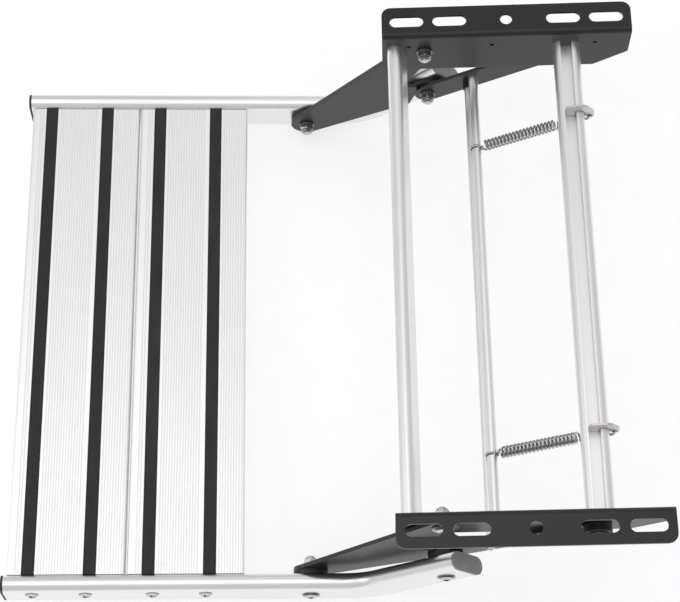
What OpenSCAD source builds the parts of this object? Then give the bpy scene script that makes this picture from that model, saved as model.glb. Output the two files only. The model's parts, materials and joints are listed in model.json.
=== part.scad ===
// Folding entry step for a caravan. Y runs from the tread to the vehicle, Z is up.
// The origin is in the plane of the bracket tops, between the two centre holes.

/* [Brackets] */
// Length of each bracket
bracket_len = 250; // [240:5:290]
// Distance between the inner faces of the two webs
web_gap = 490; // [420:10:620]
// Width of the slotted flange, web included
flange_w = 34; // [32:1:44]
// Height of the web
web_h = 64; // [58:1:72]
// Thickness of the bracket plate
plate_t = 3; // [2.5:0.5:4]
// Outer radius of the bend between web and flange
plate_bend_r = 5; // [4.5:0.5:6]
// Corner radius of the flange
flange_corner_r = 9; // [4:1:12]
// Height of the web's chamfered rear end
web_rear_h = 39.5; // [37:0.5:44]
// Length of the web's rear chamfer
web_chamfer = 33; // [22:1:38]

/* [Mounting holes] */
// Distance from the web's inner face to the row of holes
hole_row = 17.5; // [15:0.5:24]
// Distance from the centre hole to each inner slot
inner_slot_y = 57; // [48:1:58]
// Distance from the bracket's end to each outer slot
outer_slot_inset = 25; // [22:1:29]
// Length of a slot
slot_len = 34; // [26:1:36]
// Width of a slot
slot_w = 12; // [9:0.5:13]
// Diameter of the round centre hole
centre_hole_d = 12; // [9:0.5:13]
// Diameter of the small holes in the web
web_hole_d = 4.5; // [3:0.5:6]
// Depth of the small holes below the flange top
web_hole_z = 20; // [16:1:22]
// Front small hole, distance before the centre hole
web_hole_a = 98; // [96:1:100]
// Middle small hole, distance before the centre hole
web_hole_b = 14; // [8:1:20]
// Rear small hole, distance behind the centre hole
web_hole_c = 89.5; // [88:0.5:91]

/* [Pivots] */
// Front arm pivot, distance before the centre holes
front_pivot_y = 82; // [80:0.5:84]
// Front arm pivot, depth below the flange tops
front_pivot_z = 30; // [28:0.5:32]
// Rear arm pivot, distance behind the centre holes
rear_pivot_y = 59; // [57:0.5:61]
// Rear arm pivot, depth below the flange tops
rear_pivot_z = 41; // [40.5:0.5:42]
// Front arm to rail pivot, distance before the centre holes
step_pivot_y = 209; // [205:1:213]
// Front arm to rail pivot, depth below the flange tops
step_pivot_z = 183; // [180:1:186]
// Rear arm to rail pivot, distance before the centre holes
link_pivot_y = 77.5; // [76:0.5:79]
// Rear arm to rail pivot, depth below the flange tops
link_pivot_z = 122.8; // [121:0.4:125]
// Diameter of the pivot bolts
bolt_d = 8; // [6:1:10]
// Thickness of the disc between rear arm and bolt head
pivot_disc_t = 5.5; // [3:0.5:6]
// Diameter of the disc between rear arm and bolt head
pivot_disc_d = 27; // [22:1:28]
// Radial clearance of a pivot bolt in its arm
pivot_fit = 0.08; // [0.04:0.02:0.1]
// Side gap between parts that turn against each other
side_gap = 0.25; // [0.2:0.05:0.3]

/* [Arms] */
// Thickness of the arms
arm_t = 4; // [3:0.5:5]
// Gap between a bracket's web and the arms
arm_gap = 0.5; // [0.3:0.1:1]
// Radius of the front arm's outer end
front_arm_tip_r = 17; // [15:0.5:19]
// Radius of the front arm's upper end
front_arm_top_r = 15; // [13:0.5:17]
// Width of the rear arm
rear_arm_w = 27; // [24:1:28]
// Gap at the stop between the two arms when the step is out
stop_gap = 0.35; // [0.3:0.05:0.6]
// Thickness of the discs between arm and rail
spacer_t = 5; // [4:0.5:8]
// Diameter of the discs between arm and rail
spacer_d = 34; // [28:1:36]

/* [Rails] */
// Height of the rail tube
rail_h = 45; // [40:1:48]
// Width of the rail tube
rail_w = 18; // [16:1:22]
// Wall of the rail tube
rail_wall = 1.8; // [1.5:0.1:2.4]
// Length of the rail past the outer board
rail_over = 2; // [0:0.5:30]
// Tilt of the tread, outer edge up
tread_tilt = 3.7; // [2.5:0.1:4.5]
// Slope of the rail's rear part
rail_rise = 40; // [38:0.5:42]
// Centreline radius of the rail's bend
rail_bend_r = 60; // [50:1:70]
// Length of the rail past its rear pivot
rail_tail = 24; // [22:1:30]
// Thickness of the visible rim of a rail cap
cap_rim = 2.5; // [1.5:0.5:4]
// Length of a rail cap's plug
cap_plug = 12; // [8:1:13]

/* [Tread] */
// Depth of one tread board
board_w = 115; // [113:1:116]
// Thickness of a tread board
board_t = 18; // [17:0.5:20]
// Gap between the two boards
board_gap = 2; // [1:0.5:3]
// Distance from the front pivot to the nearer board
board_start = 65; // [64:1:67]
// Height of the tread's top above the rail's centreline
tread_top = 16.7; // [15:0.1:18]
// Skin of a tread board
board_skin = 1.8; // [1.5:0.1:2.2]
// Radius of a board's long edges
board_edge_r = 2.5; // [1.5:0.5:3.5]
// First screw port, distance from the board's outer edge
port_a = 25; // [24:1:28]
// Second screw port, distance from the board's outer edge
port_b = 77; // [75:1:79]
// Width of a rubber strip
strip_w = 12.5; // [10:0.5:14]
// First strip, distance from the board's outer edge
strip_a = 14.5; // [14:0.5:18]
// Second strip, distance from the board's outer edge
strip_b = 74.4; // [73.4:0.5:76.4]
// Depth of a strip's channel
strip_depth = 3; // [2.5:0.5:4]
// Height of a strip above the board
strip_proud = 0.8; // [0.4:0.1:1.4]
// Spacing of the fine grooves
groove_pitch = 2.7; // [2.6:0.1:3]
// Width of a groove
groove_w = 1.1; // [0.8:0.1:1.5]
// Depth of a groove
groove_d = 0.6; // [0.4:0.1:0.8]
// Diameter of the tread screws
tread_screw_d = 6; // [5:0.2:6.2]

/* [Cross members] */
// Long side of the front tube's section
front_tube_h = 30; // [28:1:31]
// Short side of both cross members
cross_w = 15; // [14:0.5:15.5]
// Lean of the front tube
front_tube_lean = 18; // [14:1:22]
// Front tube, distance before the centre holes
front_tube_y = 110; // [109.5:0.5:111]
// Front tube, depth below the flange tops
front_tube_z = 30.5; // [29.5:0.5:32]
// Width of the rear profile
rear_bar_w = 27; // [26.5:0.5:28]
// Rear profile, distance behind the centre holes
rear_bar_y = 60.5; // [60:0.5:61.5]
// Rear profile, depth of its middle below the flange tops
rear_bar_z = 23; // [22.5:0.5:23.5]
// Width of the rear profile's slot
rear_slot_w = 11.2; // [10:0.1:12]
// Offset of the slot towards the tread
rear_slot_shift = 0.8; // [0:0.2:1.2]
// Depth of the rear profile's slot
rear_slot_d = 10; // [8:0.5:10.5]
// Diameter of the screws through the webs
cross_screw_d = 5; // [4:0.5:5.5]
// Diameter of the spring bar
spring_bar_d = 10; // [9:0.5:11]
// Diameter of the tie rod
tie_rod_d = 8; // [7:0.5:9]
// Spring bar, distance along the rear arm from its pivot
spring_bar_run = 101.9; // [100.9:0.2:102.9]
// Spring bar, offset to the upper edge of the rear arm
spring_bar_lift = 3.3; // [3.1:0.2:3.9]
// Tie rod, distance past the spring bar along the rear arm
tie_rod_step = 10.8; // [10.6:0.2:12]
// Tie rod, offset to the lower edge of the rear arm
tie_rod_drop = 4.8; // [4.6:0.2:5.4]
// Diameter of the tie rod's end screws
tie_screw_d = 5; // [4:0.5:5.5]

/* [Springs] */
// Distance of each spring from the middle
spring_x = 165; // [120:5:190]
// Wire of the springs
spring_wire = 2.4; // [2:0.1:2.6]
// Outer diameter of the coils
spring_coil_d = 12; // [10.5:0.5:13]
// Spacing of the coils
spring_pitch = 4; // [3.5:0.1:4.5]
// Number of coils
spring_turns = 20; // [16:1:21]
// Thickness of a hook plate
hook_plate_t = 2; // [1.5:0.5:3]
// Distance of the hook's hole from the rear profile
hook_gap = 5.6; // [5.2:0.2:7]

/* [Hidden] */
$fn = 48;
// A hair's step where a straight face runs into a curved one
seam = 0.02;
half_gap = web_gap / 2;
web_out = half_gap + plate_t;
arm_in = web_out + arm_gap;
arm_out = arm_in + arm_t;
rail_in = arm_out + spacer_t;
rail_out = rail_in + rail_w;
hole_x = half_gap + hole_row;
half_len = bracket_len / 2;
outer_slot_y = half_len - outer_slot_inset;
front_pivot = [-front_pivot_y, -front_pivot_z];
rear_pivot = [rear_pivot_y, -rear_pivot_z];
step_pivot = [-step_pivot_y, -step_pivot_z];
link_pivot = [-link_pivot_y, -link_pivot_z];
bore_d = bolt_d + 2 * pivot_fit;
clear_d = bolt_d + 0.2;
washer_d = 2 * bolt_d;
washer_t = 1.6;
nut_af = 1.625 * bolt_d;
nut_t = bolt_d;
head_d = 2.2 * bolt_d;
head_t = 3.4;
head_flange_t = 0.9;
wide_washer_d = 2.5 * bolt_d;
board_end = board_start + 2 * board_w + board_gap;
// The rail runs along two straight lines that meet at a bend.
rail_axis = [cos(tread_tilt), -sin(tread_tilt)];
rail_up = [sin(tread_tilt), cos(tread_tilt)];
rise_axis = [cos(rail_rise), sin(rail_rise)];
rail_apex = meet(step_pivot, rail_axis, link_pivot, rise_axis);
bend_turn = tread_tilt + rail_rise;
bend_run = rail_bend_r * tan(bend_turn / 2);
rail_front = step_pivot - (board_end + rail_over) * rail_axis;
bend_start = rail_apex - bend_run * rail_axis;
bend_end = rail_apex + bend_run * rise_axis;
bend_centre = bend_start + rail_bend_r * rail_up;
rail_rear = link_pivot + rail_tail * rise_axis;
port_d = tread_screw_d + 0.2;
port_level = tread_top - board_t / 2;
// Spring bar and tie rod are placed along the rear arm.
arm_axis = unit(link_pivot - rear_pivot);
arm_side = [arm_axis[1], -arm_axis[0]];
spring_bar_at = rear_pivot + spring_bar_run * arm_axis + spring_bar_lift * arm_side;
tie_rod_at = rear_pivot + (spring_bar_run + tie_rod_step) * arm_axis - tie_rod_drop * arm_side;
tie_screw_len = 16;
sleeve_len = 7;
tie_screw_bore = tie_screw_d + 0.2;
// Corners of the stop on the front arm, which cups the round end of the rear arm
stop_top = link_pivot + [-20, 30];
stop_back = link_pivot + [-26, 20];
stop_notch = link_pivot + [-20.5, 15.6];
stop_nose = link_pivot + [-11.7, 14.6];
stop_face = link_pivot + [-11.7, 3];
stop_foot = link_pivot + [-19.3, -19.5];
stop_heel = link_pivot + [-21, -17];
front_tube_at = [-front_tube_y, -front_tube_z];
front_port = (front_tube_h - cross_w) / 2;
rear_bar_at = [rear_bar_y, -rear_bar_z];
rear_port = (rear_bar_w + rear_slot_w) / 4;
slot_y = rear_bar_y - rear_slot_shift;
slot_floor = -rear_bar_z + cross_w / 2 - rear_slot_d;
hook_at = [rear_bar_y + rear_bar_w / 2 + hook_gap, slot_floor - 0.2];
spring_axis = unit(hook_at - spring_bar_at);
spring_len = norm(hook_at - spring_bar_at);
spring_lean = atan2(spring_axis[1], spring_axis[0]);
coil_r = (spring_coil_d - spring_wire) / 2;
bar_loop_r = (spring_bar_d + spring_wire) / 2 + 0.15;
hook_loop_r = 3.6;
hook_boss_r = 4;
coil_start = bar_loop_r + 5;
coil_end = coil_start + spring_turns * spring_pitch;

function unit(v) = v / norm(v);

function cross2(a, b) = a[0] * b[1] - a[1] * b[0];

// Point where the line through p along a meets the line through q along b
function meet(p, a, q, b) = p + a * cross2(q - p, b) / cross2(a, b);

// Point on the tread, measured outward from the front pivot and up from the rail's axis
function on_rail(out, up) = step_pivot - out * rail_axis + up * rail_up;

// Point of the circle (c, r) that touches the common outer line of circles (c, r) and (e, s)
function touch(c, r, e, s, side, p) =
    let (a = atan2(e[1] - c[1], e[0] - c[0]) + side * acos((r - s) / norm(e - c)))
    p == 0 ? c + r * [cos(a), sin(a)] : e + s * [cos(a), sin(a)];

// One rounded corner at b between a and c
function corner(a, b, c, r) =
    let (
        u = unit(a - b),
        v = unit(c - b),
        h = acos(u * v) / 2,
        m = b + unit(u + v) * r / sin(h),
        p = b + u * r / tan(h) - m,
        q = b + v * r / tan(h) - m,
        start = atan2(p[1], p[0]),
        turn = atan2(cross2(p, q), p * q)
    )
    [for (i = [0:5]) m + r * [cos(start + turn * i / 5), sin(start + turn * i / 5)]];

function rounded(pts, r) =
    let (n = len(pts))
    [for (i = [0:n - 1]) for (q = corner(pts[(i + n - 1) % n], pts[i], pts[(i + 1) % n], r[i])) q];

// Extrudes a profile drawn in Y and Z from x0 to x1
module across(x0, x1) {
    translate([x0, 0, 0])
    rotate([90, 0, 90])
    linear_extrude(x1 - x0)
    children();
}

module rod(at, x0, x1, d) {
    translate([x0, at[0], at[1]])
    rotate([0, 90, 0])
    cylinder(h = x1 - x0, d = d);
}

// The same piece on both sides
module both() {
    children();
    mirror([1, 0, 0])
    children();
}

module flat_oval(long, short) {
    square([long - short, short], center = true);
    for (s = [-1, 1]) {
        translate([s * (long - short) / 2, 0])
        circle(d = short);
    }
}

// A plate in the arms' layer with two round ends and straight tangent sides
module link_plate(c, r, e, s) {
    rod(c, arm_in, arm_out, 2 * r);
    rod(e, arm_in, arm_out, 2 * s);
    across(arm_in, arm_out)
    polygon([
        touch(c, r - seam, e, s - seam, 1, 0), touch(c, r - seam, e, s - seam, 1, 1),
        touch(c, r - seam, e, s - seam, -1, 1), touch(c, r - seam, e, s - seam, -1, 0)
    ]);
}

// Brackets

module bracket_section() {
    translate([half_gap, -web_h])
    square([plate_t, web_h - plate_bend_r]);
    translate([half_gap + plate_bend_r, -plate_t])
    square([flange_w - plate_bend_r, plate_t]);
    intersection() {
        translate([half_gap + plate_bend_r, -plate_bend_r])
        difference() {
            circle(plate_bend_r);
            circle(plate_bend_r - plate_t);
        }
        translate([half_gap, -plate_bend_r])
        square(plate_bend_r);
    }
}

module web_outline() {
    polygon(rounded([
        [-half_len, 1], [half_len, 1], [half_len, -web_rear_h],
        [half_len - web_chamfer, -web_h], [-half_len, -web_h]
    ], [0.5, 0.5, 4, 6, 4]));
}

module flange_outline() {
    polygon(rounded([
        [half_gap - 1, -half_len], [half_gap + flange_w, -half_len],
        [half_gap + flange_w, half_len], [half_gap - 1, half_len]
    ], [0.5, flange_corner_r, flange_corner_r, 0.5]));
}

module mounting_holes() {
    for (y = [-outer_slot_y, -inner_slot_y, inner_slot_y, outer_slot_y]) {
        translate([hole_x, y, -plate_t - 1])
        linear_extrude(plate_t + 2)
        rotate(90)
        flat_oval(slot_len, slot_w);
    }
    translate([hole_x, 0, -plate_t - 1])
    cylinder(h = plate_t + 2, d = centre_hole_d);
}

module web_holes() {
    for (y = [-web_hole_a, -web_hole_b, web_hole_c]) {
        rod([y, -web_hole_z], half_gap - 1, web_out + 1, web_hole_d);
    }
    for (p = [front_pivot, rear_pivot]) {
        rod(p, half_gap - 1, web_out + 1, clear_d);
    }
    screw_seats();
}

module bracket() {
    difference() {
        intersection() {
            translate([0, half_len, 0])
            rotate([90, 0, 0])
            linear_extrude(bracket_len)
            bracket_section();
            across(half_gap - 1, half_gap + flange_w + 1)
            web_outline();
            translate([0, 0, -web_h - 1])
            linear_extrude(web_h + 2)
            flange_outline();
        }
        mounting_holes();
        web_holes();
    }
}

module bracket_right() {
    color([0.12, 0.12, 0.13])
    bracket();
}

module bracket_left() {
    color([0.12, 0.12, 0.13])
    mirror([1, 0, 0])
    bracket();
}

// Cross members

module in_front_tube() {
    translate(front_tube_at)
    rotate(90 + front_tube_lean)
    children();
}

module front_tube_section() {
    in_front_tube()
    difference() {
        flat_oval(front_tube_h, cross_w);
        difference() {
            flat_oval(front_tube_h - 3.6, cross_w - 3.6);
            for (s = [-1, 1]) {
                translate([s * front_port, 0])
                circle(d = cross_screw_d + 4);
                translate([s * front_port, -cross_w / 2])
                square([1.6, cross_w], center = false);
            }
        }
        for (s = [-1, 1]) {
            translate([s * front_port, 0])
            circle(d = cross_screw_d + 0.2);
        }
    }
}

module front_cross_tube() {
    color([0.78, 0.79, 0.8])
    across(-half_gap, half_gap)
    front_tube_section();
}

module rear_bar_section() {
    difference() {
        translate(rear_bar_at)
        flat_oval(rear_bar_w, cross_w);
        translate([slot_y - rear_slot_w / 2, slot_floor])
        square([rear_slot_w, rear_slot_d + 1]);
        for (s = [-1, 1]) {
            translate([rear_bar_y - rear_slot_shift / 2 + s * rear_port, -rear_bar_z])
            circle(d = cross_screw_d + 0.2);
        }
    }
}

module rear_cross_profile() {
    color([0.78, 0.79, 0.8])
    difference() {
        across(-half_gap, half_gap)
        rear_bar_section();
        both()
        across(spring_x - hook_plate_t / 2 - 0.05, spring_x + hook_plate_t / 2 + 0.05)
        translate([rear_bar_y, slot_floor])
        square([rear_bar_w, cross_w]);
    }
}

// Countersunk screws through the web into the ports of both members
function screw_points() = [
    front_tube_at + front_port * [-sin(front_tube_lean), cos(front_tube_lean)],
    front_tube_at - front_port * [-sin(front_tube_lean), cos(front_tube_lean)],
    rear_bar_at - [rear_slot_shift / 2 + rear_port, 0],
    rear_bar_at - [rear_slot_shift / 2 - rear_port, 0]
];

module countersink(at, grow) {
    translate([web_out - 2.4, at[0], at[1]])
    rotate([0, 90, 0])
    cylinder(h = 2.4, r1 = cross_screw_d / 2 + grow, r2 = cross_screw_d / 2 + 2.4 + grow);
}

module screw_seats() {
    for (p = screw_points()) {
        rod(p, half_gap - 1, web_out + 1, cross_screw_d + 0.2);
        countersink(p, 0.1);
    }
}

module cross_screws() {
    color([0.7, 0.71, 0.73])
    both()
    for (p = screw_points()) {
        difference() {
            union() {
                rod(p, half_gap - 22, web_out - 0.1, cross_screw_d);
                translate([-0.1, 0, 0])
                countersink(p, 0);
            }
            translate([web_out - 1.6, p[0], p[1]])
            rotate([0, 90, 0])
            cylinder(h = 2, d = 3.4, $fn = 6);
        }
    }
}

module hook_plate_shape() {
    reach = slot_y - rear_slot_w / 2 + 0.4;
    top = cross_w / 2 - rear_bar_z;
    crest = rear_bar_y + rear_bar_w / 2 - 3;
    difference() {
        union() {
            polygon([
                [reach, slot_floor], [reach, top + 5.5], [reach + 3, top + 7],
                [crest, top + 9], [crest + 4.5, top + 7], hook_at + [3, 9],
                hook_at + [hook_boss_r, 3], hook_at, [hook_at[0], slot_floor]
            ]);
            translate(hook_at)
            circle(hook_boss_r);
        }
        translate(hook_at)
        circle(d = spring_wire + 2.2);
        translate([reach - 5, slot_floor - 20])
        square([hook_at[0] - hook_boss_r - 0.4 - reach + 5, 20]);
    }
}

module spring_hook_plates() {
    color([0.5, 0.48, 0.45])
    both()
    across(spring_x - hook_plate_t / 2, spring_x + hook_plate_t / 2)
    hook_plate_shape();
}

// Arms

// The front arm ends in a stop that seats against the rear arm's round end.
module front_arm() {
    tangent = touch(step_pivot, front_arm_tip_r, stop_heel, 3, -1, 0);
    shoulder = touch(front_pivot, front_arm_top_r, stop_top, 0.1, 1, 0);
    difference() {
        union() {
            link_plate(step_pivot, front_arm_tip_r, front_pivot, front_arm_top_r);
            across(arm_in, arm_out)
            polygon(rounded([
                step_pivot, front_pivot, shoulder, stop_top, stop_back, stop_notch,
                stop_nose, stop_face, stop_foot, tangent
            ], [1, 1, 0.1, 3, 3, 2, 1, 1, 4, 0.1]));
        }
        rod(link_pivot, arm_in - 1, arm_out + 1, rear_arm_w + 2 * stop_gap);
        for (p = [step_pivot, front_pivot]) {
            rod(p, arm_in - 1, arm_out + 1, bore_d);
        }
    }
}

module front_arm_right() {
    color([0.16, 0.16, 0.17])
    front_arm();
}

module front_arm_left() {
    color([0.16, 0.16, 0.17])
    mirror([1, 0, 0])
    front_arm();
}

module rear_arm() {
    difference() {
        link_plate(link_pivot, rear_arm_w / 2, rear_pivot, rear_arm_w / 2);
        for (p = [link_pivot, rear_pivot]) {
            rod(p, arm_in - 1, arm_out + 1, bore_d);
        }
        rod(spring_bar_at, arm_in - 1, arm_out + 1, spring_bar_d - 2.8);
        rod(tie_rod_at, arm_in - 1, arm_out + 1, tie_screw_bore);
    }
}

module rear_arm_right() {
    color([0.16, 0.16, 0.17])
    rear_arm();
}

module rear_arm_left() {
    color([0.16, 0.16, 0.17])
    mirror([1, 0, 0])
    rear_arm();
}

// The spring bar is riveted into both rear arms.
module spring_bar() {
    color([0.74, 0.75, 0.77]) {
        rod(spring_bar_at, -arm_in, arm_in, spring_bar_d);
        rod(spring_bar_at, -arm_out - 0.1, arm_out + 0.1, spring_bar_d - 3);
    }
}

module tie_rod() {
    color([0.76, 0.77, 0.79])
    difference() {
        rod(tie_rod_at, -arm_in, arm_in, tie_rod_d);
        both()
        rod(tie_rod_at, arm_in - tie_screw_len - 2, arm_in + 1, tie_screw_bore);
    }
}

module tie_rod_sleeves() {
    color([0.1, 0.1, 0.1])
    both()
    difference() {
        rod(tie_rod_at, arm_in - sleeve_len, arm_in, tie_rod_d + 2.4);
        rod(tie_rod_at, arm_in - sleeve_len - 1, arm_in + 1, tie_rod_d + 0.1);
    }
}

module tie_rod_screws() {
    color([0.72, 0.73, 0.75])
    both() {
        rod(tie_rod_at, arm_in - tie_screw_len, arm_out, tie_screw_d);
        translate([arm_out, tie_rod_at[0], tie_rod_at[1]])
        rotate([0, 90, 0])
        difference() {
            round_head(1.9 * tie_screw_d, 2.8);
            translate([0, 0, 1])
            cylinder(h = 3, d = 0.7 * tie_screw_d, $fn = 6);
        }
    }
}

// Fasteners

// A low domed head, standing on the plane z = 0
module round_head(d, h) {
    r = (d * d / 4 + h * h * 0.64) / (1.6 * h);
    cylinder(h = h * 0.2 + 0.01, d = d);
    translate([0, 0, h * 0.2])
    intersection() {
        translate([0, 0, 0.8 * h - r])
        sphere(r);
        cylinder(h = h, d = d);
    }
}

// A flanged button head, with a fine groove above the flange
module pivot_head(at, x) {
    translate([x, at[0], at[1]])
    rotate([0, 90, 0])
    difference() {
        union() {
            cylinder(h = head_flange_t, d = head_d);
            cylinder(h = head_flange_t + 0.3, d = 0.72 * head_d);
            translate([0, 0, head_flange_t + 0.3])
            round_head(0.8 * head_d, head_t - head_flange_t - 0.3);
        }
        translate([0, 0, 0.8])
        cylinder(h = head_t, d = 0.72 * bolt_d, $fn = 6);
    }
}

module pivot_nut(at, x) {
    translate([x, at[0], at[1]])
    rotate([0, -90, 0])
    difference() {
        union() {
            intersection() {
                cylinder(h = nut_t * 0.75, d = nut_af / cos(30), $fn = 6);
                cylinder(h = nut_t, r1 = nut_af * 0.62, r2 = nut_af * 0.54);
            }
            cylinder(h = nut_t, d = nut_af * 0.86);
        }
        translate([0, 0, -1])
        cylinder(h = nut_t + 2, d = bolt_d + 0.1);
    }
}

module pivot_washer(at, x, d) {
    difference() {
        rod(at, x, x + washer_t, d);
        rod(at, x - 1, x + washer_t + 1, bolt_d + 0.4);
    }
}

module bolt_tip(at, x, grip) {
    rod(at, x + 1, grip, bolt_d);
    translate([x, at[0], at[1]])
    rotate([0, 90, 0])
    cylinder(h = 1, d1 = bolt_d - 2, d2 = bolt_d);
}

web_nut_x = half_gap - washer_t;
web_bolt_x = web_nut_x - nut_t - 2;
arm_nut_x = arm_in - washer_t;
arm_bolt_x = arm_nut_x - nut_t - 2;
front_washer_x = arm_out + side_gap;
rear_washer_x = front_washer_x + pivot_disc_t;

module bracket_bolt(at, washer_x) {
    bolt_tip(at, web_bolt_x, washer_x + washer_t);
    pivot_head(at, washer_x + washer_t);
}

module front_pivot_bolts() {
    color([0.8, 0.8, 0.82])
    both()
    bracket_bolt(front_pivot, front_washer_x);
}

module rear_pivot_bolts() {
    color([0.8, 0.8, 0.82])
    both()
    bracket_bolt(rear_pivot, rear_washer_x);
}

module front_pivot_nuts() {
    color([0.75, 0.75, 0.78])
    both()
    pivot_nut(front_pivot, web_nut_x);
}

module rear_pivot_nuts() {
    color([0.75, 0.75, 0.78])
    both()
    pivot_nut(rear_pivot, web_nut_x);
}

module front_pivot_washers() {
    color([0.82, 0.82, 0.84])
    both() {
        pivot_washer(front_pivot, web_nut_x, washer_d);
        pivot_washer(front_pivot, front_washer_x, wide_washer_d);
    }
}

module rear_pivot_washers() {
    color([0.82, 0.82, 0.84])
    both() {
        pivot_washer(rear_pivot, web_nut_x, washer_d);
        pivot_washer(rear_pivot, rear_washer_x, wide_washer_d);
    }
}

module rear_pivot_discs() {
    color([0.08, 0.08, 0.08])
    both()
    difference() {
        rod(rear_pivot, front_washer_x, rear_washer_x, pivot_disc_d);
        rod(rear_pivot, front_washer_x - 1, rear_washer_x + 1, bolt_d + 0.4);
    }
}

module step_pivot_bolts() {
    color([0.8, 0.8, 0.82])
    both() {
        bolt_tip(step_pivot, arm_bolt_x - side_gap, rail_out);
        pivot_head(step_pivot, rail_out);
    }
}

module step_pivot_nuts() {
    color([0.75, 0.75, 0.78])
    both()
    pivot_nut(step_pivot, arm_nut_x - side_gap);
}

module step_pivot_washers() {
    color([0.82, 0.82, 0.84])
    both()
    pivot_washer(step_pivot, arm_nut_x - side_gap, washer_d);
}

module spacer_bore(at) {
    rod(at, arm_out - 1, rail_in + 1, clear_d);
}

module step_pivot_spacers() {
    color([0.08, 0.08, 0.08])
    both()
    difference() {
        rod(step_pivot, arm_out + side_gap, rail_in, spacer_d);
        spacer_bore(step_pivot);
    }
}

// The disc's low hub sits on the rear arm and keeps its edge off the stop.
module link_spacers() {
    color([0.08, 0.08, 0.08])
    both()
    difference() {
        union() {
            rod(link_pivot, arm_out, rail_in - side_gap, rear_arm_w - 5);
            rod(link_pivot, arm_out + side_gap, rail_in - side_gap, spacer_d);
        }
        spacer_bore(link_pivot);
    }
}

// The link bolt is split at the rail's inner face, where the four-bar loop is opened.
module link_bolts() {
    color([0.8, 0.8, 0.82])
    both() {
        rod(link_pivot, rail_in, rail_out, bolt_d);
        pivot_head(link_pivot, rail_out);
    }
}

module link_bolt_ends() {
    color([0.8, 0.8, 0.82])
    both()
    bolt_tip(link_pivot, arm_bolt_x, rail_in - side_gap);
}

module link_nuts() {
    color([0.75, 0.75, 0.78])
    both()
    pivot_nut(link_pivot, arm_nut_x);
}

module link_washers() {
    color([0.82, 0.82, 0.84])
    both()
    pivot_washer(link_pivot, arm_nut_x, washer_d);
}

// Rails

// Straight length of an oval tube's solid from p to q, both in Y and Z
module oval_run(p, q, h, w) {
    translate([0, p[0], p[1]])
    rotate([atan2(q[1] - p[1], q[0] - p[0]), 0, 0])
    rotate([-90, 0, 0])
    linear_extrude(norm(q - p))
    rotate(90)
    flat_oval(h, w);
}

// The bend reaches one degree into each straight run, a seam smaller than they are.
module rail_path(h, w, over) {
    oval_run(rail_front - over * rail_axis, bend_start, h, w);
    translate([0, bend_centre[0], bend_centre[1]])
    rotate([269 - tread_tilt, 0, 0])
    rotate([90, 0, 90])
    rotate_extrude(angle = bend_turn + 2, $fn = 96)
    translate([rail_bend_r, 0])
    flat_oval(h - 2 * seam, w - 2 * seam);
    oval_run(bend_end, rail_rear + over * rise_axis, h, w);
}

function tread_screw_points() = [
    for (b = [board_end, board_start + board_w]) for (p = [port_a, port_b]) on_rail(b - p, port_level)
];

module rail() {
    difference() {
        translate([(rail_in + rail_out) / 2, 0, 0])
        difference() {
            rail_path(rail_h, rail_w, 0);
            rail_path(rail_h - 2 * rail_wall, rail_w - 2 * rail_wall, 1);
        }
        for (p = [step_pivot, link_pivot]) {
            rod(p, rail_in - 1, rail_out + 1, clear_d);
        }
        for (p = tread_screw_points()) {
            rod(p, rail_in - 1, rail_out + 1, port_d);
        }
    }
}

module rail_right() {
    color([0.84, 0.85, 0.86])
    rail();
}

module rail_left() {
    color([0.84, 0.85, 0.86])
    mirror([1, 0, 0])
    rail();
}

// A plug with a rim that covers the tube's end
module rail_cap(end, axis) {
    fit = 2 * rail_wall + 0.2;
    translate([(rail_in + rail_out) / 2, 0, 0]) {
        oval_run(end, end + cap_rim * axis, rail_h - 0.4, rail_w - 0.4);
        difference() {
            oval_run(end - cap_plug * axis, end + cap_rim / 2 * axis, rail_h - fit, rail_w - fit);
            oval_run(end - (cap_plug + 1) * axis, end - 1 * axis, rail_h - fit - 4, rail_w - fit - 4);
        }
    }
}

module rail_front_caps() {
    color([0.2, 0.2, 0.21])
    both()
    rail_cap(rail_front, -rail_axis);
}

module rail_rear_caps() {
    color([0.45, 0.45, 0.46])
    both()
    rail_cap(rail_rear, rise_axis);
}

// Tread boards

// The profile is drawn with its outer edge at 0 and its top at 0.
module strip_channel(at, fit) {
    translate([at, 0])
    polygon([
        [-fit, 2], [-fit, -1], [-1.2 - fit, -1.4], [-1.2 - fit, -strip_depth - fit],
        [strip_w + 1.2 + fit, -strip_depth - fit], [strip_w + 1.2 + fit, -1.4],
        [strip_w + fit, -1], [strip_w + fit, 2]
    ]);
}

module grooves(from, to) {
    n = floor((to - from) / groove_pitch);
    rest = (to - from - n * groove_pitch) / 2;
    for (i = [0:n]) {
        translate([from + rest + i * groove_pitch, 0])
        polygon([
            [-groove_w / 2, 0.2], [-groove_w * 0.3, -groove_d],
            [groove_w * 0.3, -groove_d], [groove_w / 2, 0.2]
        ]);
    }
}

module board_outline(w, t, r) {
    polygon(rounded([[0, 0], [w, 0], [w, -t], [0, -t]], [r, r, 1, 1]));
}

module board_section() {
    difference() {
        board_outline(board_w, board_t, board_edge_r);
        difference() {
            translate([board_skin, -board_skin - groove_d])
            board_outline(board_w - 2 * board_skin, board_t - 2 * board_skin - groove_d, 1.2);
            for (a = [strip_a, strip_b]) {
                translate([a - 1.3 - board_skin, -strip_depth - board_skin])
                square([strip_w + 2.6 + 2 * board_skin, strip_depth + board_skin]);
            }
            for (p = [port_a, port_b]) {
                translate([p, -board_t / 2])
                circle(d = port_d + 3.2);
                translate([p - 0.9, -board_t])
                square([1.8, board_t]);
            }
        }
        for (p = [port_a, port_b]) {
            translate([p, -board_t / 2])
            circle(d = port_d);
        }
        strip_channel(strip_a, 0.1);
        strip_channel(strip_b, 0.1);
        grooves(7.5, strip_a - 2.2);
        grooves(strip_a + strip_w + 3, strip_b - 5);
        grooves(strip_b + strip_w + 2.6, board_w - 3);
    }
}

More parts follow.
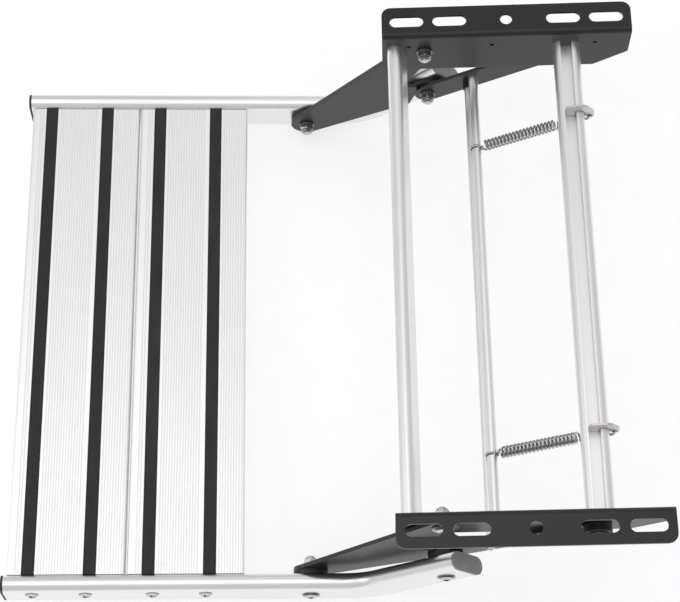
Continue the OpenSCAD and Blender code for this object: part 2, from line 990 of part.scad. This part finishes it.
// Places a board profile so that its outer edge is at the given distance from the front pivot
module in_board(out) {
    translate(on_rail(out, tread_top))
    rotate(-tread_tilt)
    children();
}

module tread_board(out) {
    across(-rail_in, rail_in)
    in_board(out)
    board_section();
}

module tread_board_outer() {
    color([0.86, 0.87, 0.88])
    tread_board(board_end);
}

module tread_board_inner() {
    color([0.8, 0.81, 0.83])
    tread_board(board_start + board_w);
}

module strip_section() {
    difference() {
        union() {
            intersection() {
                strip_channel(0, 0);
                translate([-2, -strip_depth])
                square([strip_w + 4, strip_depth]);
            }
            translate([0.4, -0.5])
            square([strip_w - 0.8, strip_proud + 0.5]);
        }
        for (i = [0:4]) {
            translate([strip_w / 2 + (i - 2) * 2.3 - 0.5, strip_proud - 0.6])
            square([1, 1]);
        }
    }
}

module strip(out, at) {
    color([0.07, 0.07, 0.07])
    across(-rail_in + 0.1, rail_in - 0.1)
    in_board(out)
    translate([at, 0])
    strip_section();
}

module strip_1() {
    strip(board_end, strip_a);
}

module strip_2() {
    strip(board_end, strip_b);
}

module strip_3() {
    strip(board_start + board_w, strip_a);
}

module strip_4() {
    strip(board_start + board_w, strip_b);
}

module tread_screws() {
    color([0.72, 0.73, 0.75])
    both()
    for (p = tread_screw_points()) {
        rod(p, rail_in - 22, rail_out, tread_screw_d);
        translate([rail_out, p[0], p[1]])
        rotate([0, 90, 0])
        difference() {
            round_head(2.2 * tread_screw_d, 3);
            for (a = [0, 90]) {
                rotate(a + 12)
                translate([-0.65 * tread_screw_d, -0.15 * tread_screw_d, 0.8])
                cube([1.3 * tread_screw_d, 0.3 * tread_screw_d, 3]);
            }
        }
    }
}

// Springs

module torus(r, wire) {
    rotate_extrude()
    translate([r, 0])
    circle(d = wire, $fn = 20);
}

// Wire from s to e along the spring's own axis
module wire_run(s, e) {
    translate([0, 0, s])
    cylinder(h = e - s, d = spring_wire, $fn = 20);
}

module coil() {
    rotate_extrude() {
        for (i = [0:spring_turns]) {
            translate([coil_r, coil_start + i * spring_pitch])
            circle(d = spring_wire, $fn = 20);
        }
        translate([coil_r - 0.35, coil_start])
        square([0.7, coil_end - coil_start]);
    }
    for (z = [coil_start, coil_end]) {
        translate([0, 0, z])
        rotate([0, 90, 0])
        cylinder(h = coil_r, d = spring_wire * 0.8, $fn = 20);
    }
}

module spring() {
    translate([spring_x, spring_bar_at[0], spring_bar_at[1]])
    rotate([spring_lean - 90, 0, 0]) {
        rotate([0, 90, 0])
        torus(bar_loop_r, spring_wire);
        wire_run(bar_loop_r, coil_start);
        coil();
        wire_run(coil_end, spring_len - 2 * hook_loop_r);
        translate([0, 0, spring_len - hook_loop_r])
        rotate([90, 0, 0])
        torus(hook_loop_r, spring_wire);
    }
}

module spring_right() {
    color([0.66, 0.67, 0.7])
    spring();
}

module spring_left() {
    color([0.66, 0.67, 0.7])
    mirror([1, 0, 0])
    spring();
}

bracket_left();
bracket_right();
front_cross_tube();
rear_cross_profile();
cross_screws();
spring_hook_plates();
front_arm_left();
front_arm_right();
rear_arm_left();
rear_arm_right();
front_pivot_bolts();
front_pivot_nuts();
front_pivot_washers();
rear_pivot_bolts();
rear_pivot_nuts();
rear_pivot_washers();
rear_pivot_discs();
spring_bar();
tie_rod();
tie_rod_sleeves();
tie_rod_screws();
rail_left();
rail_right();
tread_board_outer();
tread_board_inner();
strip_1();
strip_2();
strip_3();
strip_4();
rail_front_caps();
rail_rear_caps();
tread_screws();
step_pivot_bolts();
step_pivot_nuts();
step_pivot_washers();
step_pivot_spacers();
link_spacers();
link_bolts();
link_bolt_ends();
link_nuts();
link_washers();
spring_left();
spring_right();
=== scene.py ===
import json
import math
from math import cos, pi, sin

import bpy
from mathutils import Matrix, Vector


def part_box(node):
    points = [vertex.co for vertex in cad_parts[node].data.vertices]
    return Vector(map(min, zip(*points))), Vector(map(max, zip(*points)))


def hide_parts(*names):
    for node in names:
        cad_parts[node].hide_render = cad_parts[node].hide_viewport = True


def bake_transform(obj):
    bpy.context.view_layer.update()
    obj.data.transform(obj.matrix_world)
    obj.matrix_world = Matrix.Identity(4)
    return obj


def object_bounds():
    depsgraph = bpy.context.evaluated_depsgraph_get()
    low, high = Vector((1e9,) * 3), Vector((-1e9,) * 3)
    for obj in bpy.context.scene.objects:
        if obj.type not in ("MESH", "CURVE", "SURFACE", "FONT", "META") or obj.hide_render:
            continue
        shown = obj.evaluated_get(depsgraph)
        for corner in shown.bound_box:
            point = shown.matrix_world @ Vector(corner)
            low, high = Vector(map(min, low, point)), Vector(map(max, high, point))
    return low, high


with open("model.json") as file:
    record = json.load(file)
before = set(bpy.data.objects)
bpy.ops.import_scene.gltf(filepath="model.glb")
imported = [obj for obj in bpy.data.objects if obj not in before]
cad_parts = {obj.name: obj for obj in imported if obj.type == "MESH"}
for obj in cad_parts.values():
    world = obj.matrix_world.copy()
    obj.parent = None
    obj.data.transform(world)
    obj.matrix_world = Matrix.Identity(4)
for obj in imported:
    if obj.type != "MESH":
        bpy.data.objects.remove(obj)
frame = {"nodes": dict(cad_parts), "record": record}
cad_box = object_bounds()
nodes = frame["nodes"]

MM = 0.001
# The photograph's width and the lens's focal length, in pixels
IMAGE_W = 680
FOCAL_PX = 1752.0
SENSOR_MM = 36
# Half the floor's side, and its distance below the object, in metres
FLOOR_HALF = 20.0
FLOOR_GAP = 0.0005


# Node helpers

def new_material(name):
    mat = bpy.data.materials.new(name)
    mat.use_nodes = True
    tree = mat.node_tree
    tree.nodes.clear()
    out = tree.nodes.new("ShaderNodeOutputMaterial")
    shader = tree.nodes.new("ShaderNodeBsdfPrincipled")
    tree.links.new(shader.outputs[0], out.inputs[0])
    return mat, tree, shader


def link(tree, a, b):
    tree.links.new(a, b)


def coords(tree, scale):
    """The row frame's coordinates in metres, times scale"""
    tc = tree.nodes.new("ShaderNodeTexCoord")
    mp = tree.nodes.new("ShaderNodeMapping")
    mp.inputs["Scale"].default_value = scale
    link(tree, tc.outputs["Object"], mp.inputs["Vector"])
    return mp.outputs[0]


def noise(tree, scale, detail=3.0, rough=0.5, stretch=(1, 1, 1)):
    n = tree.nodes.new("ShaderNodeTexNoise")
    n.inputs["Scale"].default_value = scale
    n.inputs["Detail"].default_value = detail
    n.inputs["Roughness"].default_value = rough
    link(tree, coords(tree, stretch), n.inputs["Vector"])
    return n.outputs["Fac"]


def ramp(tree, value, lo, hi, a, b):
    """Maps value from lo..hi to a..b, numbers or colours"""
    n = tree.nodes.new("ShaderNodeValToRGB")
    e = n.color_ramp.elements
    e[0].position, e[1].position = lo, hi
    e[0].color = (a, a, a, 1) if isinstance(a, (int, float)) else (*a, 1)
    e[1].color = (b, b, b, 1) if isinstance(b, (int, float)) else (*b, 1)
    link(tree, value, n.inputs[0])
    return n.outputs[0]


def mix(tree, fac, a, b):
    n = tree.nodes.new("ShaderNodeMix")
    n.data_type = "RGBA"
    link(tree, fac, n.inputs[0])
    for v, i in ((a, 6), (b, 7)):
        if isinstance(v, tuple):
            n.inputs[i].default_value = (*v, 1)
        else:
            link(tree, v, n.inputs[i])
    return n.outputs[2]


def add(tree, a, b, op="ADD"):
    n = tree.nodes.new("ShaderNodeMath")
    n.operation = op
    for v, i in ((a, 0), (b, 1)):
        if isinstance(v, (int, float)):
            n.inputs[i].default_value = v
        else:
            link(tree, v, n.inputs[i])
    return n.outputs[0]


def bump(tree, shader, height, distance, strength=1.0, round_edge=0.0):
    """Fine relief, and with round_edge the look of a softened edge of that radius"""
    n = tree.nodes.new("ShaderNodeBump")
    if round_edge:
        bev = tree.nodes.new("ShaderNodeBevel")
        bev.samples = 6
        bev.inputs["Radius"].default_value = round_edge
        link(tree, bev.outputs[0], n.inputs["Normal"])
    n.inputs["Distance"].default_value = distance
    n.inputs["Strength"].default_value = strength
    link(tree, height, n.inputs["Height"])
    link(tree, n.outputs[0], shader.inputs["Normal"])


def edge_highlight_mask(tree, radius):
    """1 close to a sharp edge, 0 on the flat"""
    bev = tree.nodes.new("ShaderNodeBevel")
    bev.samples = 4
    bev.inputs["Radius"].default_value = radius
    geo = tree.nodes.new("ShaderNodeNewGeometry")
    dot = tree.nodes.new("ShaderNodeVectorMath")
    dot.operation = "DOT_PRODUCT"
    link(tree, bev.outputs[0], dot.inputs[0])
    link(tree, geo.outputs["Normal"], dot.inputs[1])
    return ramp(tree, dot.outputs["Value"], 0.86, 0.99, 1.0, 0.0)


# Materials

def powder_coat(name, dark, light):
    mat, t, s = new_material(name)
    peel = noise(t, 620, 2.0, 0.55)
    grit = noise(t, 2600, 2.0, 0.6)
    cloud = noise(t, 16, 3.0)
    base = mix(t, ramp(t, cloud, 0.3, 0.7, 0.0, 1.0), dark, light)
    patches = ramp(t, noise(t, 140, 4.0), 0.42, 0.6, 0.1, 0.75)
    # Painted highlight: the coat is made lighter along sharp edges, in patches, standing in for
    # the light that the edges catch
    painted_edge_highlight = add(t, edge_highlight_mask(t, 0.0007), patches, "MULTIPLY")
    link(t, mix(t, painted_edge_highlight, base, (0.07, 0.07, 0.072)), s.inputs["Base Color"])
    link(t, ramp(t, grit, 0.3, 0.7, 0.25, 0.35), s.inputs["Roughness"])
    s.inputs["Specular IOR Level"].default_value = 0.46
    bump(t, s, add(t, peel, add(t, grit, 0.3, "MULTIPLY")), 0.00004, 0.4, 0.0009)
    return mat


def aluminium(name, stretch, dark, light, rough, lines):
    """Satin anodised extrusion with its drawing lines along one axis"""
    mat, t, s = new_material(name)
    fine = noise(t, 1.0, 4.0, 0.6, tuple(900 if k else 0.6 for k in stretch))
    broad = noise(t, 1.0, 2.0, 0.5, tuple(160 if k else 0.3 for k in stretch))
    cloud = noise(t, 22, 3.0)
    tone = add(t, add(t, fine, 0.5, "MULTIPLY"), add(t, broad, 0.5, "MULTIPLY"))
    col = mix(t, ramp(t, tone, 0.3, 0.7, 0.0, 1.0), dark, light)
    link(t, col, s.inputs["Base Color"])
    patchy = add(t, fine, add(t, cloud, 0.4, "MULTIPLY"))
    link(t, ramp(t, patchy, 0.4, 1.0, rough - 0.05, rough + 0.07), s.inputs["Roughness"])
    s.inputs["Metallic"].default_value = 1.0
    bump(t, s, add(t, fine, add(t, broad, 0.6, "MULTIPLY")), lines, 0.6, 0.0004)
    return mat


def open_air(tree, distance):
    """0 deep in a crevice, 1 where nothing is close"""
    n = tree.nodes.new("ShaderNodeAmbientOcclusion")
    n.samples = 6
    n.inputs["Distance"].default_value = distance
    return n.outputs["AO"]


def zinc(name, tone, rough, crevice):
    """Bright plating, with painted shade: the colour darkens in the crevices within that
    distance
    """
    mat, t, s = new_material(name)
    cloud = noise(t, 260, 3.0)
    warm = tuple(c * f for c, f in zip(tone, (0.93, 0.9, 0.84)))
    plate = mix(t, ramp(t, cloud, 0.35, 0.7, 0.0, 1.0), tone, warm)
    # Painted shade: the plating goes to near black where ambient occlusion finds other surfaces
    # within the crevice distance
    painted_crevice_shade = ramp(t, open_air(t, crevice), 0.45, 0.95, 1.0, 0.0)
    link(t, mix(t, painted_crevice_shade, plate, (0.05, 0.048, 0.045)), s.inputs["Base Color"])
    link(t, ramp(t, noise(t, 900, 2.0), 0.3, 0.7, rough, rough + 0.08), s.inputs["Roughness"])
    s.inputs["Metallic"].default_value = 1.0
    bump(t, s, noise(t, 1500, 2.0), 0.000005, 0.5, 0.0003)
    return mat


def rubber():
    mat, t, s = new_material("strip_rubber")
    dust = noise(t, 60, 4.0, 0.6, (0.3, 1, 1))
    dusty = ramp(t, dust, 0.45, 0.8, 0.0, 1.0)
    link(t, mix(t, dusty, (0.022, 0.022, 0.021), (0.036, 0.036, 0.034)), s.inputs["Base Color"])
    link(t, ramp(t, noise(t, 700, 2.0), 0.3, 0.7, 0.45, 0.58), s.inputs["Roughness"])
    s.inputs["Specular IOR Level"].default_value = 0.35
    bump(t, s, noise(t, 1800, 3.0), 0.00005, 0.6)
    return mat


def plastic(name, tone, rough):
    mat, t, s = new_material(name)
    cloud = noise(t, 90, 2.0)
    pale = tuple(min(1.0, c * 1.25 + 0.003) for c in tone)
    link(t, mix(t, ramp(t, cloud, 0.35, 0.7, 0.0, 1.0), tone, pale), s.inputs["Base Color"])
    grain = noise(t, 1300, 2.0)
    link(t, ramp(t, grain, 0.3, 0.7, rough - 0.04, rough + 0.06), s.inputs["Roughness"])
    bump(t, s, noise(t, 2100, 2.0), 0.00004, 0.5)
    return mat


powder = powder_coat("powder_coat", (0.006, 0.006, 0.0065), (0.01, 0.01, 0.011))
arm_powder = powder_coat("arm_powder_coat", (0.017, 0.017, 0.018), (0.024, 0.024, 0.025))
board_metal = aluminium(
    "tread_metal", (0, 1, 1), (0.93, 0.935, 0.93), (0.95, 0.955, 0.95), 0.4, 0.000004)
rail_metal = aluminium(
    "rail_metal", (1, 0, 1), (0.82, 0.825, 0.82), (0.87, 0.875, 0.87), 0.3, 0.000012)
bar_metal = aluminium(
    "bar_metal", (0, 1, 1), (0.83, 0.835, 0.83), (0.88, 0.885, 0.88), 0.36, 0.000014)
zinc_metal = zinc("zinc", (0.58, 0.585, 0.59), 0.12, 0.005)
spring_metal = zinc("spring_wire", (0.55, 0.555, 0.56), 0.16, 0.003)
plate_metal = zinc("plate_steel", (0.66, 0.645, 0.61), 0.34, 0.002)
strip_rubber = rubber()
black_plastic = plastic("black_plastic", (0.012, 0.012, 0.012), 0.5)
grey_plastic = plastic("grey_plastic", (0.22, 0.22, 0.225), 0.46)

FINISH = {
    "black_coat": powder,
    "anodised": bar_metal,
    "zinc": zinc_metal,
    "spring_steel": spring_metal,
    "plain_steel": plate_metal,
    "strip_rubber": strip_rubber,
    "black_plastic": black_plastic,
    "grey_plastic": grey_plastic,
}
SPECIAL = {
    "tread_board_outer": board_metal,
    "tread_board_inner": board_metal,
    "rail_left": rail_metal,
    "rail_right": rail_metal,
    "front_arm_left": arm_powder,
    "front_arm_right": arm_powder,
    "rear_arm_left": arm_powder,
    "rear_arm_right": arm_powder,
}


def dress_cad():
    slots = {s["node"]: s["material_slot"] for s in frame["record"]["subparts"]}
    for name, obj in nodes.items():
        mat = SPECIAL.get(name) or FINISH[slots[name]]
        for i in range(len(obj.material_slots)):
            obj.material_slots[i].material = mat


# Springs, in millimetres

WIRE = 2.4
COIL_R = 4.8
PITCH = 4.0
TURNS = 20
BAR_LOOP_R = 6.35
HOOK_LOOP_R = 3.6
HOOK_BOSS_R = 4.0
SPRING_X = 165
COIL_STEPS = 20


def mesh_tube(name, points, radius, sides=10):
    """A round tube along points, with frames carried along so that it doesn't twist"""
    pts = [Vector(p) for p in points]
    verts, faces = [], []
    side = None
    for i, p in enumerate(pts):
        tangent = (pts[min(i + 1, len(pts) - 1)] - pts[max(i - 1, 0)]).normalized()
        if side is None:
            side = tangent.orthogonal().normalized()
        side = (side - tangent * side.dot(tangent)).normalized()
        other = tangent.cross(side)
        for k in range(sides):
            a = 2 * pi * k / sides
            verts.append(p + radius * (cos(a) * side + sin(a) * other))
    n = len(pts)
    for i in range(n - 1):
        for k in range(sides):
            a, b = i * sides + k, i * sides + (k + 1) % sides
            faces.append((a, b, b + sides, a + sides))
    faces.append(tuple(range(sides - 1, -1, -1)))
    faces.append(tuple((n - 1) * sides + k for k in range(sides)))
    me = bpy.data.meshes.new(name)
    me.from_pydata([tuple(v) for v in verts], [], faces)
    me.update()
    for poly in me.polygons:
        poly.use_smooth = True
    obj = bpy.data.objects.new(name, me)
    bpy.context.scene.collection.objects.link(obj)
    return obj


def spring_path(length):
    """The wire's route in mm: along the spring's axis, across it, and sideways"""
    path = []
    for i in range(37):
        a = math.radians(50 + 310 * i / 36)
        path.append((BAR_LOOP_R * cos(a), BAR_LOOP_R * sin(a), 0))
    start = BAR_LOOP_R + 4
    for i in range(1, 11):
        t = i / 10
        a = pi / 2 + pi * t
        r = COIL_R * sin(pi / 2 * t)
        path.append((BAR_LOOP_R + 4 * t, r * sin(a), r * cos(a)))
    for i in range(1, TURNS * COIL_STEPS + 1):
        a = 3 * pi / 2 + 2 * pi * i / COIL_STEPS
        path.append((start + PITCH * i / COIL_STEPS, COIL_R * sin(a), COIL_R * cos(a)))
    end = start + PITCH * TURNS
    for i in range(1, 11):
        t = i / 10
        a = 3 * pi / 2 + pi * t
        r = COIL_R * cos(pi / 2 * t) ** 2
        path.append((end + 4 * t, r * sin(a), r * cos(a)))
    centre = length - HOOK_LOOP_R
    first = math.radians(215)
    p0, m0 = Vector((centre - 9, 0, 0)), Vector((8, 0, 0))
    p1 = Vector((centre + HOOK_LOOP_R * cos(first), 0, HOOK_LOOP_R * sin(first)))
    m1 = Vector((-sin(first), 0, cos(first))) * 6
    path.append((end + 8, 0, 0))
    for i in range(11):
        t = i / 10
        h = (2 * t**3 - 3 * t**2 + 1, t**3 - 2 * t**2 + t, 3 * t**2 - 2 * t**3, t**3 - t**2)
        path.append(tuple(h[0] * p0 + h[1] * m0 + h[2] * p1 + h[3] * m1))
    for i in range(1, 31):
        a = first + math.radians(300) * i / 30
        path.append((centre + HOOK_LOOP_R * cos(a), 0, HOOK_LOOP_R * sin(a)))
    return path


def make_spring(side):
    sign = 1 if side == "right" else -1
    lo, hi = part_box("spring_bar")
    bar = Vector((0, (lo[1] + hi[1]) / 2, (lo[2] + hi[2]) / 2))
    plo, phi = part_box("spring_hook_plates")
    hook = Vector((0, phi[1] - HOOK_BOSS_R * MM, plo[2] + HOOK_BOSS_R * MM))
    axis = (hook - bar).normalized()
    across = Vector((0, -axis.z, axis.y))
    x = Vector((sign, 0, 0))
    origin = bar + x * SPRING_X * MM
    path = spring_path((hook - bar).length / MM)
    pts = [origin + (axis * a + across * b + x * c) * MM for a, b, c in path]
    obj = mesh_tube("spring_coil_" + side, pts, WIRE / 2 * MM)
    obj.data.materials.append(spring_metal)
    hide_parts("spring_" + side)
    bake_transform(obj)


# Light and camera

def area(name, size, power, at, to):
    data = bpy.data.lights.new(name, "AREA")
    data.energy = power
    data.size = size
    obj = bpy.data.objects.new(name, data)
    bpy.context.scene.collection.objects.link(obj)
    obj.location = at
    obj.rotation_euler = (Vector(to) - Vector(at)).to_track_quat("-Z", "Y").to_euler()


def make_world():
    world = bpy.data.worlds.new("studio")
    bpy.context.scene.world = world
    world.use_nodes = True
    t = world.node_tree
    t.nodes.clear()
    out = t.nodes.new("ShaderNodeOutputWorld")
    back = t.nodes.new("ShaderNodeBackground")
    tc = t.nodes.new("ShaderNodeTexCoord")
    sep = t.nodes.new("ShaderNodeSeparateXYZ")
    grad = t.nodes.new("ShaderNodeValToRGB")
    link(t, tc.outputs["Generated"], sep.inputs[0])
    link(t, sep.outputs["Z"], grad.inputs[0])
    e = grad.color_ramp.elements
    e[0].position, e[0].color = 0.0, (0.52, 0.52, 0.525, 1)
    e[1].position, e[1].color = 1.0, (1.0, 1.0, 1.0, 1)
    for at, tone in ((0.3, 0.62), (0.7, 0.66), (0.84, 0.58), (0.93, 0.92)):
        e.new(at).color = (tone, tone, tone * 1.01, 1)
    link(t, grad.outputs[0], back.inputs["Color"])
    back.inputs["Strength"].default_value = 1.0
    link(t, back.outputs[0], out.inputs[0])


def make_floor(z):
    me = bpy.data.meshes.new("floor")
    h = FLOOR_HALF
    me.from_pydata([(-h, -h, z), (h, -h, z), (h, h, z), (-h, h, z)], [], [(0, 1, 2, 3)])
    obj = bpy.data.objects.new("floor", me)
    bpy.context.scene.collection.objects.link(obj)
    mat, t, s = new_material("floor_paper")
    link(t, ramp(t, noise(t, 40, 2.0), 0.3, 0.7, 0.49, 0.51), s.inputs["Base Color"])
    s.inputs["Roughness"].default_value = 0.9
    s.inputs["Specular IOR Level"].default_value = 0.1
    s.inputs["Emission Color"].default_value = (1, 1, 1, 1)
    s.inputs["Emission Strength"].default_value = 0.6
    me.materials.append(mat)


def make_camera():
    """The photograph's view: azimuth, elevation and roll in degrees, place in metres"""
    az, el, roll = (math.radians(v) for v in (93.348, 67.21, -4.564))
    back = Vector((sin(az) * cos(el), -cos(az) * cos(el), sin(el)))
    fwd = -back
    right = fwd.cross(Vector((0, 0, 1))).normalized()
    up = right.cross(fwd)
    r = right * cos(roll) + up * sin(roll)
    u = up * cos(roll) - right * sin(roll)
    cam = bpy.data.cameras.new("camera")
    cam.lens = FOCAL_PX * SENSOR_MM / IMAGE_W
    cam.sensor_width = SENSOR_MM
    cam.sensor_fit = "HORIZONTAL"
    cam.clip_start, cam.clip_end = 0.05, 50
    obj = bpy.data.objects.new("camera", cam)
    bpy.context.scene.collection.objects.link(obj)
    m = Matrix.Identity(4)
    for i in range(3):
        m[i][0], m[i][1], m[i][2] = r[i], u[i], back[i]
    m.translation = Vector((0.67568, -0.13404, 1.51629))
    obj.matrix_world = m
    bpy.context.scene.camera = obj


def make_lights():
    area("top", 2.0, 6, (0.0, -0.5, 2.4), (0, -0.15, 0))
    area("tread_side", 1.2, 6, (0.2, -2.0, 1.3), (0, -0.2, -0.1))
    area("far_side", 1.2, 2, (-1.8, 0.5, 1.2), (0, -0.1, -0.1))


make_camera()
dress_cad()
for side in ("left", "right"):
    make_spring(side)
make_world()
make_lights()
make_floor(cad_box[0][2] - FLOOR_GAP)

view = bpy.context.scene.view_settings
view.view_transform = "Standard"
view.look = "None"
view.exposure = 0.0
view.gamma = 1.0
